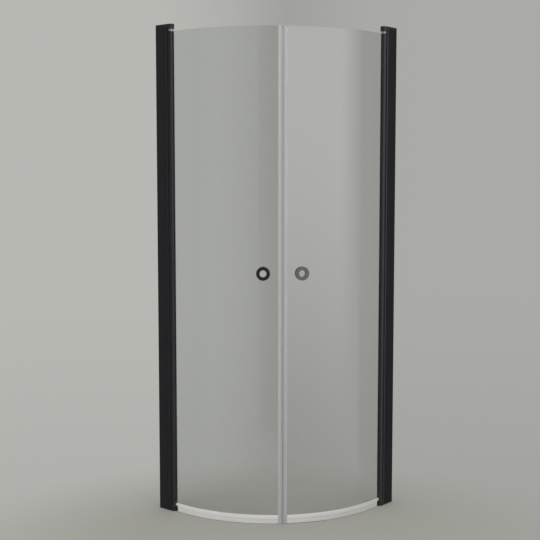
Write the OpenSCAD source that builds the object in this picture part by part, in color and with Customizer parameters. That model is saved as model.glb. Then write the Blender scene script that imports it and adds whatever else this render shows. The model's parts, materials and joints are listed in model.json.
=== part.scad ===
// Corner shower enclosure with two curved glass doors. Each door hangs on a round tube at the end
// of a wall profile, swings out of the enclosure and rises on a cam as it opens.
// The right side is the mirror image of the left about the diagonal of the room corner.
// Millimetres, +Z up. The origin is the middle of the floor area that the enclosure covers.

/* [Enclosure] */
// Length along each wall, over the wall profile
side_len = 700; // [680:10:1000]
// Height from the floor to the top caps
total_h = 2000; // [1800:10:2200]

/* [Wall profiles] */
// Width across a profile, and diameter of the hinge tube
profile_w = 28; // [27:0.5:34]
// Depth of the channel that is screwed to the wall
channel_d = 47; // [42:1:50]
// Thickness of the channel's back
channel_back_t = 2.2; // [1.8:0.1:3]
// Thickness of the channel's legs
channel_leg_t = 1.6; // [1.2:0.1:2]
// Wall thickness of the carrier that slides in the channel
carrier_t = 1.8; // [1.4:0.1:2.2]
// Width of the groove between the channel and the carrier's head
groove_w = 1; // [0.6:0.1:2]
// Radius of the wall screw holes
wall_hole_r = 2.75; // [2:0.25:3.5]
// Distance of the end wall screws from the floor and from the top
wall_hole_end = 160; // [100:10:300]
// Distance of the end locking screws from the floor and from the top
lock_screw_end = 300; // [200:10:500]

/* [End caps] */
// Thickness of the cap plates
plate_t = 8; // [6:0.5:10]
// Height of the upper bearing block, with its plate
top_block_h = 19; // [17:1:26]
// Height of the lower bearing block, with its plate
bottom_block_h = 22; // [19:1:28]

/* [Hinges] */
// Distance from the wall to the hinge axis
hinge_reach = 73; // [70:1:82]
// Angle that a door swings out
door_swing = 100; // [80:5:100]
// Height that a door rises over its whole swing
door_lift = 8; // [4:1:8]
// Gap between the hinge tube and the upper bearing block
lift_gap = 10; // [9:0.5:14]
// Wall thickness of the hinge tube
tube_t = 1.7; // [1.4:0.1:2]
// Radius of the spindles in their bushes
spindle_r = 6; // [5:0.25:6.5]
// Radius of the barrel that shows above the hinge tube
barrel_r = 9.75; // [9:0.25:10]

/* [Doors] */
// Straight run of a door between the hinge axis and the start of its curve
door_straight = 63; // [40:1:120]
// Thickness of the glass
glass_t = 6; // [5:0.5:8]
// Height of the glass above the floor
glass_z0 = 12; // [11:0.5:15]
// Gap between the two doors where they meet
seam_gap = 0.5; // [0.4:0.1:2]

/* [Seals] */
// Height of the drip seals' upper edge
drip_top = 35; // [32:1:42]
// Height of the seals' lower edges
seal_z0 = 1; // [0.5:0.5:3]
// Wall thickness of the seals
seal_t = 1.5; // [1.2:0.1:2]
// Reach of the drip seals' skirts on each side of the glass
skirt_reach = 6; // [5.5:0.25:7.5]
// Length of the edge seals' magnetic noses
nose_len = 7.5; // [6.5:0.25:10]
// Length of the edge seals' clips on the glass
clip_len = 10; // [8:0.5:14]
// Thickness of the rubber on each side of the glass in the hinge tube
gasket_t = 2.1; // [1.5:0.1:2.4]

/* [Knobs] */
// Outer diameter of a knob
knob_d = 55; // [49:1:64]
// Diameter of the finger hole
knob_hole_d = 27; // [22:1:33]
// Thickness of a knob's ring on one face of the glass
knob_ring_t = 6.5; // [5.5:0.5:12]
// Height of the knobs' centres
knob_h = 1009; // [850:1:1150]
// Distance of the knobs' centres from the seam, along the glass
knob_from_seam = 77; // [55:1:120]
// Wall thickness of the neck that passes through the glass
knob_neck_t = 3.3; // [2.5:0.1:4.5]
// Rounding of the knobs' edges
knob_round = 1.4; // [0.8:0.2:2.4]

/* [Hidden] */
$fn = 96;

// Colours of the finishes
BLACK = "#222224";
STEEL = "#b9babb";
PALE_PLASTIC = "#d9d8d2";
GREY_PLASTIC = "#5f5f60";
SEAL_WHITE = "#d6d7d2";
GLASS = "#c9d6d2";

// Clearances: fixed fits, sliding fits, running fits at shafts, and faces that pass each other
fit_gap = 0.05;
slide_gap = 0.2;
run_gap = 0.05;
pass_gap = 0.3;
// Extra length that carries a cut past a face
cut = 1;

// Places of the profile, the hinge axis and the arc, in a frame whose origin is the room corner,
// with x running out along the wall beside the door and y running towards the corner
tube_r = profile_w / 2;
profile_y = tube_r - side_len;
arc_c = hinge_reach + door_straight;
door_arc_r = side_len - tube_r - arc_c;
half_turn = 180;

// Carrier: the stem slides between the channel's legs, and the head follows the tube up to its
// bevelled tips
socket_gap = 0.6;
socket_r = tube_r + socket_gap;
horn_back = 9;
tip_bevel = [3.4, 2];
stem_x0 = 14;
stem_half = tube_r - channel_leg_t - slide_gap;
head_x0 = channel_d + groove_w;
head_x1 = hinge_reach - horn_back;
stem_port_inset = 10;
head_port_inset = 3;
cap_screw_x = [stem_x0 + stem_port_inset, head_x0 + head_port_inset];
port_r = 4;

// Screws
lock_screw_x = (stem_x0 + channel_d) / 2;
lock_screw_r = 2;
lock_screw_reach = 8;
lock_head_r = 3.8;
lock_head_t = 2.2;
cover_t = 1;
cap_screw_r = 1.95;
cap_screw_len = 24;
cap_head_r = 3.9;
cap_head_t = 2;
plug_screw_r = 1.9;
plug_screw_len = 8;
key_size = 1.25;
key_depth = 1.5;

// Bushes and spindles
bush_t = 2;
bush_r = spindle_r + run_gap + bush_t;
bush_floor = 6;
thrust_gap = 0.3;
underside_z = total_h - top_block_h;
tube_z1 = underside_z - lift_gap;
flat_share = 0.84;
barrel_depth = 27;
upper_plug_h = 45;
upper_plug_z0 = tube_z1 - upper_plug_h;
plug_bore_depth = 36;
barrel_key_drop = 4;
spindle_key_drop = 4;
spindle_grip = 26;
lower_bore_depth = 32;

// Cams: two lobes, each half a turn, at the pitch that lifts the door over its swing. The lower
// one is pressed into a seat in the lower block, and a thrust ring lies around it.
thrust_ring_t = 1.2;
thrust_ring_r = tube_r - 0.6;
cam_foot = 1.2;
cam_seat_d = 3;
cam_in_r = spindle_r + 1.2;
tube_bore_r = tube_r - tube_t;
cam_out_r = tube_bore_r - 0.5;
cam_pitch = door_lift / door_swing;
cam_face_z = bottom_block_h + thrust_ring_t + cam_foot;
cam_steps = 24;
cam_step_deg = 2;
cam_lobes = 2;
cam_cover = 7;

// Tube and plugs
tube_z0 = bottom_block_h + thrust_ring_t + thrust_gap;
lower_plug_z0 = cam_face_z + half_turn * cam_pitch + cam_cover;
lower_plug_h = 43;
lower_plug_z1 = lower_plug_z0 + lower_plug_h;
lower_spindle_z1 = lower_plug_z0 + spindle_grip;
lower_bore_z1 = lower_plug_z0 + lower_bore_depth;
lower_screw_drop = 5.5;
upper_screw_rise = 4.5;
plug_screw_z = [lower_plug_z1 - lower_screw_drop, upper_plug_z0 + upper_screw_rise];
slot_half = glass_t / 2 + gasket_t + 2 * fit_gap;
web_t = 1.6;
pocket_back = 2;

// Glass and what holds it
glass_z1 = tube_z1 - 0.5;
glass_inset = 2;
notch_reach = tube_r + 0.8;
notch_margin = 2;
lip_reach = tube_r + 2;
lip_z0 = drip_top + slide_gap;
skirt_set_back = 13;
seal_start = tube_r + skirt_set_back;
clip_clear = 2.5;
clip_start = tube_r + pass_gap;
clip_z0 = bottom_block_h + clip_clear;
glass_seam_off = nose_len + 0.7;
clip_half = glass_t / 2 + fit_gap + seal_t;
nose_half = clip_half + 1;
edge_seal_off = nose_len + clip_len;
nose_face_t = 0.8;
nose_back_t = 1.2;
nose_side_t = 1.8;
magnet_off = seam_gap / 2 + nose_face_t;
magnet_len = nose_len - magnet_off - nose_back_t;
magnet_half = nose_half - nose_side_t;

// Knobs, with z along the knob's axis and 0 in the middle of the glass
washer_t = 1.2;
washer_dip = 1.2;
ring_face = glass_t / 2 + washer_t;
hole_r = knob_hole_d / 2;
neck_r = hole_r + knob_neck_t;
neck_set_back = 1.6;
sleeve_t = 1.5;
sleeve_set_back = 0.5;
glass_hole_r = neck_r + sleeve_t + 2 * fit_gap;
washer_r = knob_d / 2 - 1;

// Frames
module left_side()
    translate([-side_len / 2, side_len / 2, 0])
        children();

module right_side()
    translate([-side_len / 2, side_len / 2, 0])
        mirror([1, 1, 0])
            children();

module on_profile()
    translate([0, profile_y, 0])
        children();

module on_hinge()
    translate([hinge_reach, profile_y, 0])
        children();

// Draws the lower version of a part that also stands upside down at the top
module at_top()
    translate([0, 0, total_h])
        mirror([0, 0, 1])
            children();

function arc_deg(len) = len / door_arc_r * 180 / PI;

module on_arc(seam_off)
    translate([arc_c, -arc_c, 0])
        rotate([0, 0, -45 - arc_deg(seam_off)])
            children();

module at_knob()
    on_arc(knob_from_seam)
        translate([door_arc_r, 0, knob_h])
            rotate([0, 90, 0])
                children();

// Sweeps a section along a door, from a distance off the hinge axis to a distance short of the
// seam. In the section x points out of the enclosure from the middle of the glass, and y is up.
module along_door(start, seam_off) {
    translate([hinge_reach + start, profile_y, 0])
        rotate([90, 0, 90])
            linear_extrude(door_straight - start)
                mirror([1, 0])
                    children();
    translate([arc_c, -arc_c, 0])
        rotate([0, 0, -90])
            rotate_extrude(angle = 45 - arc_deg(seam_off))
                translate([door_arc_r, 0])
                    children();
}

// A curved bar that follows the glass between two distances from the seam
module arc_bar(near, far, half, z0, z1)
    on_arc(far)
        rotate_extrude(angle = arc_deg(far - near))
            translate([door_arc_r - half, z0])
                square([2 * half, z1 - z0]);

module bar(x0, x1, half, z0, z1)
    translate([x0, -half, z0])
        cube([x1 - x0, 2 * half, z1 - z0]);

// A shaft or bore with two flats that keep two parts turning together
module keyed_round(r, flat_half, h)
    intersection() {
        cylinder(r = r, h = h);
        translate([-r - cut, -flat_half, -cut])
            cube([2 * (r + cut), 2 * flat_half, h + 2 * cut]);
    }

module hex_key_hole()
    translate([0, 0, -cut])
        cylinder(r = key_size, h = key_depth + cut, $fn = 6);

// Wall channel: the U-section that is screwed to the wall and takes up walls that aren't upright
module wall_channel()
    color(BLACK)
        on_profile()
            difference() {
                bar(0, channel_d, tube_r, plate_t, total_h - plate_t);
                bar(channel_back_t, channel_d + cut, tube_r - channel_leg_t, 0, total_h);
                for (i = [0:3])
                    translate([-cut, 0, wall_hole_end + i * (total_h - 2 * wall_hole_end) / 3])
                        rotate([0, 90, 0])
                            cylinder(r = wall_hole_r, h = channel_back_t + 2 * cut);
                at_lock_screws()
                    cylinder(r = lock_screw_r + slide_gap, h = profile_w, center = true);
            }

// Places things at the locking screws, with z pointing out of the channel's inner leg
module at_lock_screws()
    for (z = [lock_screw_end, total_h / 2, total_h - lock_screw_end])
        translate([lock_screw_x, tube_r, z])
            rotate([-90, 0, 0])
                children();

// Hinge carrier: slides in the channel, and its hollow head is scooped out around the hinge tube
module hinge_carrier() {
    stem_end = head_x0 - carrier_t;
    pocket_x1 = hinge_reach - socket_r - carrier_t;
    color(BLACK)
        on_profile()
            difference() {
                union() {
                    bar(stem_x0, head_x0 + cut, stem_half, plate_t, total_h - plate_t);
                    bar(head_x0, head_x1, tube_r, plate_t, total_h - plate_t);
                }
                difference() {
                    bar(stem_x0 - cut, stem_end, stem_half - carrier_t, 0, total_h);
                    translate([cap_screw_x[0], 0, 0])
                        cylinder(r = port_r, h = total_h);
                    bar(cap_screw_x[0], stem_end + cut, carrier_t / 2, 0, total_h);
                }
                for (side = [-1, 1])
                    translate([0, side * (port_r + tube_r - carrier_t) / 2, 0])
                        bar(head_x0 + carrier_t, pocket_x1, (tube_r - carrier_t - port_r) / 2,
                            0, total_h);
                translate([hinge_reach, 0, 0])
                    cylinder(r = socket_r, h = total_h);
                for (side = [0, 1])
                    mirror([0, side, 0])
                        translate([head_x1, tube_r, 0])
                            tip_wedge();
                for (x = cap_screw_x)
                    translate([x, 0, 0])
                        cylinder(r = cap_screw_r + fit_gap, h = total_h);
                at_lock_screws()
                    mirror([0, 0, 1])
                        cylinder(r = lock_screw_r + slide_gap, h = tube_r);
            }
}

// What the bevel takes off a tip of the carrier's head, from the tip's outer corner
module tip_wedge() {
    slope = tip_bevel[1] / tip_bevel[0];
    linear_extrude(total_h)
        polygon([
            [-tip_bevel[0] - cut / slope, cut], [cut, cut], [cut, -tip_bevel[1] - cut * slope]
        ]);
}

// Locking screws: fix the carrier in the channel from inside the enclosure
module lock_screws()
    color(STEEL)
        on_profile()
            at_lock_screws()
                difference() {
                    union() {
                        cylinder(r = lock_head_r, h = lock_head_t);
                        translate([0, 0, -lock_screw_reach])
                            cylinder(r = lock_screw_r, h = lock_screw_reach + lock_head_t / 2);
                    }
                    translate([0, 0, lock_head_t])
                        mirror([0, 0, 1])
                            hex_key_hole();
                }

// Screw covers: domed caps over the locking screws
module screw_covers()
    color(BLACK)
        on_profile()
            at_lock_screws()
                rotate_extrude()
                    screw_cover_section();

module screw_cover_section() {
    inner_r = lock_head_r + slide_gap;
    outer_r = inner_r + cover_t;
    top = lock_head_t + slide_gap + cover_t;
    bevel = cover_t * 0.8;
    difference() {
        polygon([
            [0, 0], [outer_r, 0], [outer_r, top - bevel], [outer_r - bevel, top], [0, top]
        ]);
        translate([-cut, -cut])
            square([inner_r + cut, lock_head_t + slide_gap + cut]);
    }
}

// End cap, drawn as the lower one: a plate over the whole profile, and a bearing block
module end_cap(block_h)
    difference() {
        union() {
            bar(0, hinge_reach, tube_r, 0, plate_t);
            translate([hinge_reach, 0, 0])
                cylinder(r = tube_r, h = block_h);
        }
        translate([hinge_reach, 0, bush_floor])
            cylinder(r = bush_r + fit_gap, h = block_h);
        for (x = cap_screw_x)
            translate([x, 0, 0])
                cap_screw_body(fit_gap);
    }

module cap_screw_body(grow) {
    translate([0, 0, -cut])
        cylinder(r = cap_screw_r + grow, h = cap_screw_len + cut);
    cylinder(r1 = cap_head_r + grow, r2 = cap_screw_r + grow, h = cap_head_t);
}

module top_cap()
    color(BLACK)
        on_profile()
            at_top()
                end_cap(top_block_h);

module bottom_cap()
    color(BLACK)
        on_profile()
            difference() {
                end_cap(bottom_block_h);
                translate([hinge_reach, 0, bottom_block_h - cam_seat_d])
                    cylinder(r = cam_out_r + fit_gap, h = cam_seat_d + cut);
            }

// Cap screws: countersunk, through the plates into the carrier's screw ports
module cap_screws()
    color(STEEL)
        on_profile() {
            cap_screw_pair();
            at_top()
                cap_screw_pair();
        }

module cap_screw_pair()
    for (x = cap_screw_x)
        translate([x, 0, 0])
            difference() {
                cap_screw_body(0);
                translate([0, 0, -2 * cut])
                    cylinder(r = cap_head_r + cut, h = 2 * cut);
                hex_key_hole();
            }

// Bushes: plastic bearings in the blocks, in which the spindles turn
module bush(top_z)
    translate([0, 0, bush_floor])
        difference() {
            cylinder(r = bush_r, h = top_z - bush_floor);
            translate([0, 0, -cut])
                cylinder(r = spindle_r + run_gap, h = top_z + cut);
        }

module top_bush()
    color(PALE_PLASTIC)
        on_hinge()
            at_top()
                bush(top_block_h);

module bottom_bush()
    color(PALE_PLASTIC)
        on_hinge()
            bush(bottom_block_h - cam_seat_d);

// Spindles: keyed to the hinge tube's plugs, which slide up them as the door rises
module top_spindle() {
    barrel_z0 = tube_z1 - barrel_depth;
    barrel_z1 = underside_z - thrust_gap;
    round_z0 = tube_z1 - barrel_key_drop;
    color(STEEL)
        on_hinge() {
            translate([0, 0, barrel_z0])
                keyed_round(barrel_r, barrel_r * flat_share, round_z0 - barrel_z0);
            translate([0, 0, round_z0])
                cylinder(r = barrel_r, h = barrel_z1 - round_z0);
            translate([0, 0, barrel_z1])
                cylinder(r = spindle_r, h = top_block_h - bush_floor - 2 * thrust_gap);
        }
}

module bottom_spindle() {
    key_z0 = lower_plug_z0 - spindle_key_drop;
    foot_z = bush_floor + thrust_gap;
    color(STEEL)
        on_hinge() {
            translate([0, 0, foot_z])
                cylinder(r = spindle_r, h = key_z0 - foot_z);
            translate([0, 0, key_z0])
                keyed_round(spindle_r, spindle_r * flat_share, lower_spindle_z1 - key_z0);
        }
}

// Cam ring between a flat face and a face that falls with the angle and steps up twice a turn
module cam_ring(r_in, r_out, flat_z, face_z) {
    lobe = 360 / cam_lobes;
    slope = lobe - cam_step_deg;
    stations = [
        for (j = [0:cam_lobes - 1], i = [0:cam_steps])
            [j * lobe + i * slope / cam_steps, face_z + cam_pitch * (lobe - i * slope / cam_steps)]
    ];
    count = len(stations);
    points = [
        for (s = stations, corner = [[r_in, flat_z], [r_out, flat_z], [r_out, s[1]], [r_in, s[1]]])
            [corner[0] * cos(s[0]), corner[0] * sin(s[0]), corner[1]]
    ];
    up = face_z > flat_z;
    quads = [
        for (n = [0:count - 1], side = [0:3])
            let (m = (n + 1) % count, next = (side + 1) % 4)
                [4 * n + side, 4 * m + side, 4 * m + next, 4 * n + next]
    ];
    faces = [
        for (q = quads, half = [0, 1])
            let (triangle = half == 0 ? [q[0], q[1], q[2]] : [q[0], q[2], q[3]])
                up ? triangle : [triangle[2], triangle[1], triangle[0]]
    ];
    polyhedron(points, faces);
}

// Lower cam: stands in its seat in the lower block
module lower_cam()
    color(PALE_PLASTIC)
        on_hinge()
            cam_ring(cam_in_r, cam_out_r, bottom_block_h - cam_seat_d, cam_face_z);

// Thrust ring: lies on the lower block around the cam, and shows as a thin line under the tube
module thrust_ring()
    color(GREY_PLASTIC)
        on_hinge()
            translate([0, 0, bottom_block_h])
                difference() {
                    cylinder(r = thrust_ring_r, h = thrust_ring_t);
                    translate([0, 0, -cut])
                        cylinder(r = cam_out_r + slide_gap, h = thrust_ring_t + 2 * cut);
                }

// Upper cam: fixed in the tube, and rides up the lower one as the door swings out
module upper_cam()
    color(PALE_PLASTIC)
        on_hinge()
            rotate([0, 0, -cam_step_deg])
                cam_ring(cam_in_r, tube_bore_r - 2 * fit_gap, lower_plug_z0 - fit_gap,
                         cam_face_z + cam_step_deg * cam_pitch + pass_gap);

// Hinge tube: round tube with a slot for the glass and a pocket inside that holds the glass edge
module hinge_tube() {
    pocket_z0 = lower_plug_z1 + notch_margin;
    pocket_z1 = upper_plug_z0 - notch_margin;
    web_half = slot_half + web_t;
    color(BLACK)
        on_hinge()
            difference() {
                translate([0, 0, tube_z0])
                    cylinder(r = tube_r, h = tube_z1 - tube_z0);
                difference() {
                    cylinder(r = tube_bore_r, h = total_h);
                    bar(-pocket_back - web_t, tube_r, web_half, pocket_z0, pocket_z1);
                }
                bar(-pocket_back, tube_r + cut, slot_half, pocket_z0 - cut, pocket_z1 + cut);
                bar(cam_in_r, tube_r + cut, slot_half, 0, total_h);
                for (z = plug_screw_z)
                    translate([0, 0, z])
                        rotate([-90, 0, 0])
                            cylinder(r = plug_screw_r + fit_gap, h = tube_r + cut);
            }
}

// Plugs: fixed in the ends of the tube, each with a keyed bore for a spindle and a rib that fills
// the tube's slot
module plug_body(h)
    union() {
        cylinder(r = tube_bore_r - fit_gap, h = h);
        bar(0, notch_reach - 2 * fit_gap, glass_t / 2, 0, h);
    }

module plug_screw_bore(z)
    translate([0, 0, z])
        rotate([-90, 0, 0])
            cylinder(r = plug_screw_r + fit_gap, h = tube_r + cut);

module upper_plug() {
    bore_z0 = tube_z1 - plug_bore_depth;
    key_z1 = tube_z1 - barrel_key_drop - door_lift - cut;
    color(PALE_PLASTIC)
        on_hinge()
            difference() {
                translate([0, 0, upper_plug_z0])
                    plug_body(upper_plug_h);
                translate([0, 0, bore_z0])
                    keyed_round(barrel_r + run_gap, barrel_r * flat_share + run_gap,
                                key_z1 - bore_z0);
                translate([0, 0, key_z1])
                    cylinder(r = barrel_r + run_gap, h = total_h - key_z1);
                plug_screw_bore(plug_screw_z[1]);
            }
}

module lower_plug()
    color(PALE_PLASTIC)
        on_hinge()
            difference() {
                translate([0, 0, lower_plug_z0])
                    plug_body(lower_plug_h);
                translate([0, 0, lower_plug_z0 - cut])
                    keyed_round(spindle_r + run_gap, spindle_r * flat_share + run_gap,
                                lower_bore_z1 - lower_plug_z0 + cut);
                plug_screw_bore(plug_screw_z[0]);
            }

// Plug screws: grub screws through the tube into the plugs
module plug_screws()
    color(STEEL)
        on_hinge()
            for (z = plug_screw_z)
                translate([0, tube_r - slide_gap, z])
                    rotate([90, 0, 0])
                        difference() {
                            cylinder(r = plug_screw_r, h = plug_screw_len);
                            hex_key_hole();
                        }

// Glass: one toughened pane, straight beside the tube and then curved to the seam. Its hinge edge
// is notched at both ends, where the plugs are.
module glass()
    color(GLASS, 0.4)
        difference() {
            along_door(glass_inset, glass_seam_off)
                translate([-glass_t / 2, glass_z0])
                    square([glass_t, glass_z1 - glass_z0]);
            on_hinge() {
                bar(0, notch_reach, glass_t, 0, lower_plug_z1 + notch_margin);
                bar(0, notch_reach, glass_t, upper_plug_z0 - notch_margin, total_h);
            }
            at_knob()
                cylinder(r = glass_hole_r, h = 4 * glass_t, center = true);
        }

// Glass gasket: rubber around the glass edge in the tube, with lips that show along the slot
// above the drip seal
module glass_gasket() {
    outer_half = slot_half - fit_gap;
    inner_half = glass_t / 2 + fit_gap;
    pocket_z0 = lower_plug_z1 + notch_margin + fit_gap;
    pocket_z1 = upper_plug_z0 - notch_margin - fit_gap;
    color(BLACK)
        on_hinge()
            difference() {
                union() {
                    bar(-pocket_back + fit_gap, lip_reach, outer_half, pocket_z0, pocket_z1);
                    bar(tube_bore_r + fit_gap, lip_reach, outer_half, lip_z0, glass_z1);
                }
                bar(glass_inset - fit_gap, lip_reach + cut, inner_half, 0, total_h);
            }
}

// Edge seal: clips on the free edge of the glass, and its nose holds a magnet strip
module edge_seal()
    color(SEAL_WHITE)
        difference() {
            union() {
                arc_bar(seam_gap / 2, nose_len, nose_half, seal_z0, glass_z1);
                arc_bar(nose_len - seal_t / 2, edge_seal_off, clip_half, seal_z0, glass_z1);
            }
            arc_bar(glass_seam_off - fit_gap, edge_seal_off + cut, glass_t / 2 + fit_gap,
                    0, total_h);
            arc_bar(magnet_off, magnet_off + magnet_len, magnet_half, 0, total_h);
        }

module magnet_strip()
    color(BLACK)
        arc_bar(magnet_off + fit_gap, magnet_off + magnet_len - fit_gap, magnet_half - fit_gap,
                seal_z0 + cut, glass_z1 - cut);

// Drip seal: a clip on the lower edge of the glass, a skirt on each side and a wiping lip below.
// Near the hinge only the clip goes on, past the bearing block to the tube.
module drip_seal() {
    seal_end = edge_seal_off + 2 * fit_gap;
    color(SEAL_WHITE) {
        along_door(seal_start, seal_end)
            drip_section(seal_z0);
        on_hinge()
            difference() {
                bar(clip_start, seal_start + seal_t, clip_half, clip_z0, drip_top);
                bar(0, seal_start + cut + seal_t, glass_t / 2 + fit_gap, 0, total_h);
            }
    }
}

module drip_section(z0) {
    inner = glass_t / 2 + fit_gap;
    clip_base = glass_z0 - fit_gap - seal_t;
    root = clip_half - seal_t / 2;
    bead_top = drip_top - 1.5;
    bead_z = 20;
    bead_edge = 1;
    groove = 1.4;
    skirt_top = bead_z - groove - bead_edge / 2;
    skirt_lean = 0.9;
    difference() {
        translate([-clip_half, clip_base])
            square([2 * clip_half, drip_top - clip_base]);
        translate([-inner, glass_z0 - fit_gap])
            square([2 * inner, drip_top]);
    }
    for (side = [0, 1])
        mirror([side, 0]) {
            polygon([
                [root, bead_top], [clip_half, bead_top], [skirt_reach, bead_z + bead_edge],
                [skirt_reach, bead_z], [clip_half, bead_z - bead_edge / 2],
                [root, bead_z - bead_edge / 2]
            ]);
            polygon([
                [root, skirt_top + bead_edge / 2], [clip_half, skirt_top + bead_edge / 2],
                [skirt_reach - skirt_lean / 3, skirt_top - bead_edge / 2],
                [skirt_reach - skirt_lean, z0], [skirt_reach - skirt_lean - seal_t, z0],
                [root, clip_base + seal_t / 2]
            ]);
        }
    translate([-seal_t / 2, z0])
        square([seal_t, clip_base + seal_t / 2 - z0]);
}

// Knobs: a ring on each face of the glass. The outer ring has a neck that passes through the
// glass, and the inner ring is locked on it with a grub screw.
module knob_ring_section(r_in)
    union() {
        translate([r_in, 0])
            square([knob_d / 2 - r_in, knob_ring_t - knob_round]);
        translate([r_in + knob_round, 0])
            square([knob_d / 2 - r_in - 2 * knob_round, knob_ring_t]);
        for (r = [r_in + knob_round, knob_d / 2 - knob_round])
            translate([r, knob_ring_t - knob_round])
                circle(r = knob_round, $fn = 48);
    }

module knob_outer()
    color(BLACK)
        at_knob() {
            translate([0, 0, ring_face])
                rotate_extrude()
                    knob_ring_section(hole_r);
            difference() {
                translate([0, 0, neck_set_back - ring_face - knob_ring_t])
                    cylinder(r = neck_r, h = 2 * ring_face + knob_ring_t - neck_set_back + cut);
                cylinder(r = hole_r, h = 4 * knob_d, center = true);
            }
        }

module knob_inner()
    color(BLACK)
        at_knob()
            difference() {
                mirror([0, 0, 1])
                    translate([0, 0, ring_face])
                        rotate_extrude()
                            knob_ring_section(neck_r + fit_gap);
                at_knob_screw()
                    cylinder(r = plug_screw_r + fit_gap, h = knob_d);
            }

// Places the grub screw under the inner ring, with z pointing down and out of the ring
module at_knob_screw()
    translate([0, 0, -ring_face - knob_ring_t / 2])
        rotate([0, 90, 0])
            children();

module knob_screw()
    color(STEEL)
        at_knob()
            at_knob_screw()
                translate([0, 0, neck_r + fit_gap])
                    difference() {
                        cylinder(r = plug_screw_r, h = knob_d / 2 - neck_r - 0.5);
                        translate([0, 0, knob_d / 2 - neck_r - 0.5])
                            mirror([0, 0, 1])
                                hex_key_hole();
                    }

// Washers: soft rings that are flat against the knobs and curved against the glass
module knob_washers()
    color(BLACK)
        for (face = [1, -1])
            difference() {
                at_knob()
                    difference() {
                        translate([0, 0, face == 1 ? glass_t / 2 - washer_dip : -ring_face])
                            cylinder(r = washer_r, h = washer_t + washer_dip);
                        cylinder(r = glass_hole_r - sleeve_t, h = knob_d, center = true);
                    }
                glass_solid_body(face);
            }

// The space on the glass's side of one of its faces: inside the outer face, or outside the inner
module glass_solid_body(face) {
    reach = 2 * washer_r;
    if (face == 1)
        on_arc(0)
            translate([0, 0, knob_h - reach])
                cylinder(r = door_arc_r + glass_t / 2 + fit_gap, h = 2 * reach, $fn = 256);
    else
        on_arc(0)
            translate([0, 0, knob_h - reach])
                difference() {
                    cylinder(r = door_arc_r + glass_t, h = 2 * reach, $fn = 256);
                    translate([0, 0, -cut])
                        cylinder(r = door_arc_r - glass_t / 2 - fit_gap, h = 2 * reach + 2 * cut,
                                 $fn = 256);
                }
}

// Sleeve: plastic tube between the neck and the edge of the hole in the glass
module knob_sleeve()
    color(PALE_PLASTIC)
        at_knob()
            difference() {
                cylinder(r = neck_r + fit_gap + sleeve_t, h = glass_t - 2 * sleeve_set_back,
                         center = true);
                cylinder(r = neck_r + fit_gap, h = 2 * glass_t, center = true);
            }

left_side() wall_channel();  // left_wall_channel
left_side() hinge_carrier();  // left_hinge_carrier
left_side() lock_screws();  // left_lock_screws
left_side() screw_covers();  // left_screw_covers
left_side() top_cap();  // left_top_cap
left_side() bottom_cap();  // left_bottom_cap
left_side() cap_screws();  // left_cap_screws
left_side() top_bush();  // left_top_bush
left_side() bottom_bush();  // left_bottom_bush
left_side() lower_cam();  // left_lower_cam
left_side() thrust_ring();  // left_thrust_ring
left_side() top_spindle();  // left_top_spindle
left_side() bottom_spindle();  // left_bottom_spindle
left_side() hinge_tube();  // left_hinge_tube
left_side() upper_plug();  // left_upper_plug
left_side() lower_plug();  // left_lower_plug
left_side() plug_screws();  // left_plug_screws
left_side() upper_cam();  // left_upper_cam
left_side() glass();  // left_glass
left_side() glass_gasket();  // left_glass_gasket
left_side() edge_seal();  // left_edge_seal
left_side() magnet_strip();  // left_magnet_strip
left_side() drip_seal();  // left_drip_seal
left_side() knob_outer();  // left_knob_outer
left_side() knob_inner();  // left_knob_inner
left_side() knob_washers();  // left_knob_washers
left_side() knob_sleeve();  // left_knob_sleeve
left_side() knob_screw();  // left_knob_screw
right_side() wall_channel();  // right_wall_channel
right_side() hinge_carrier();  // right_hinge_carrier
right_side() lock_screws();  // right_lock_screws
right_side() screw_covers();  // right_screw_covers
right_side() top_cap();  // right_top_cap
right_side() bottom_cap();  // right_bottom_cap
right_side() cap_screws();  // right_cap_screws
right_side() top_bush();  // right_top_bush
right_side() bottom_bush();  // right_bottom_bush
right_side() lower_cam();  // right_lower_cam
right_side() thrust_ring();  // right_thrust_ring
right_side() top_spindle();  // right_top_spindle
right_side() bottom_spindle();  // right_bottom_spindle
right_side() hinge_tube();  // right_hinge_tube
right_side() upper_plug();  // right_upper_plug
right_side() lower_plug();  // right_lower_plug
right_side() plug_screws();  // right_plug_screws
right_side() upper_cam();  // right_upper_cam
right_side() glass();  // right_glass
right_side() glass_gasket();  // right_glass_gasket
right_side() edge_seal();  // right_edge_seal
right_side() magnet_strip();  // right_magnet_strip
right_side() drip_seal();  // right_drip_seal
right_side() knob_outer();  // right_knob_outer
right_side() knob_inner();  // right_knob_inner
right_side() knob_washers();  // right_knob_washers
right_side() knob_sleeve();  // right_knob_sleeve
right_side() knob_screw();  // right_knob_screw
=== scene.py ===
import json
import math

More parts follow.
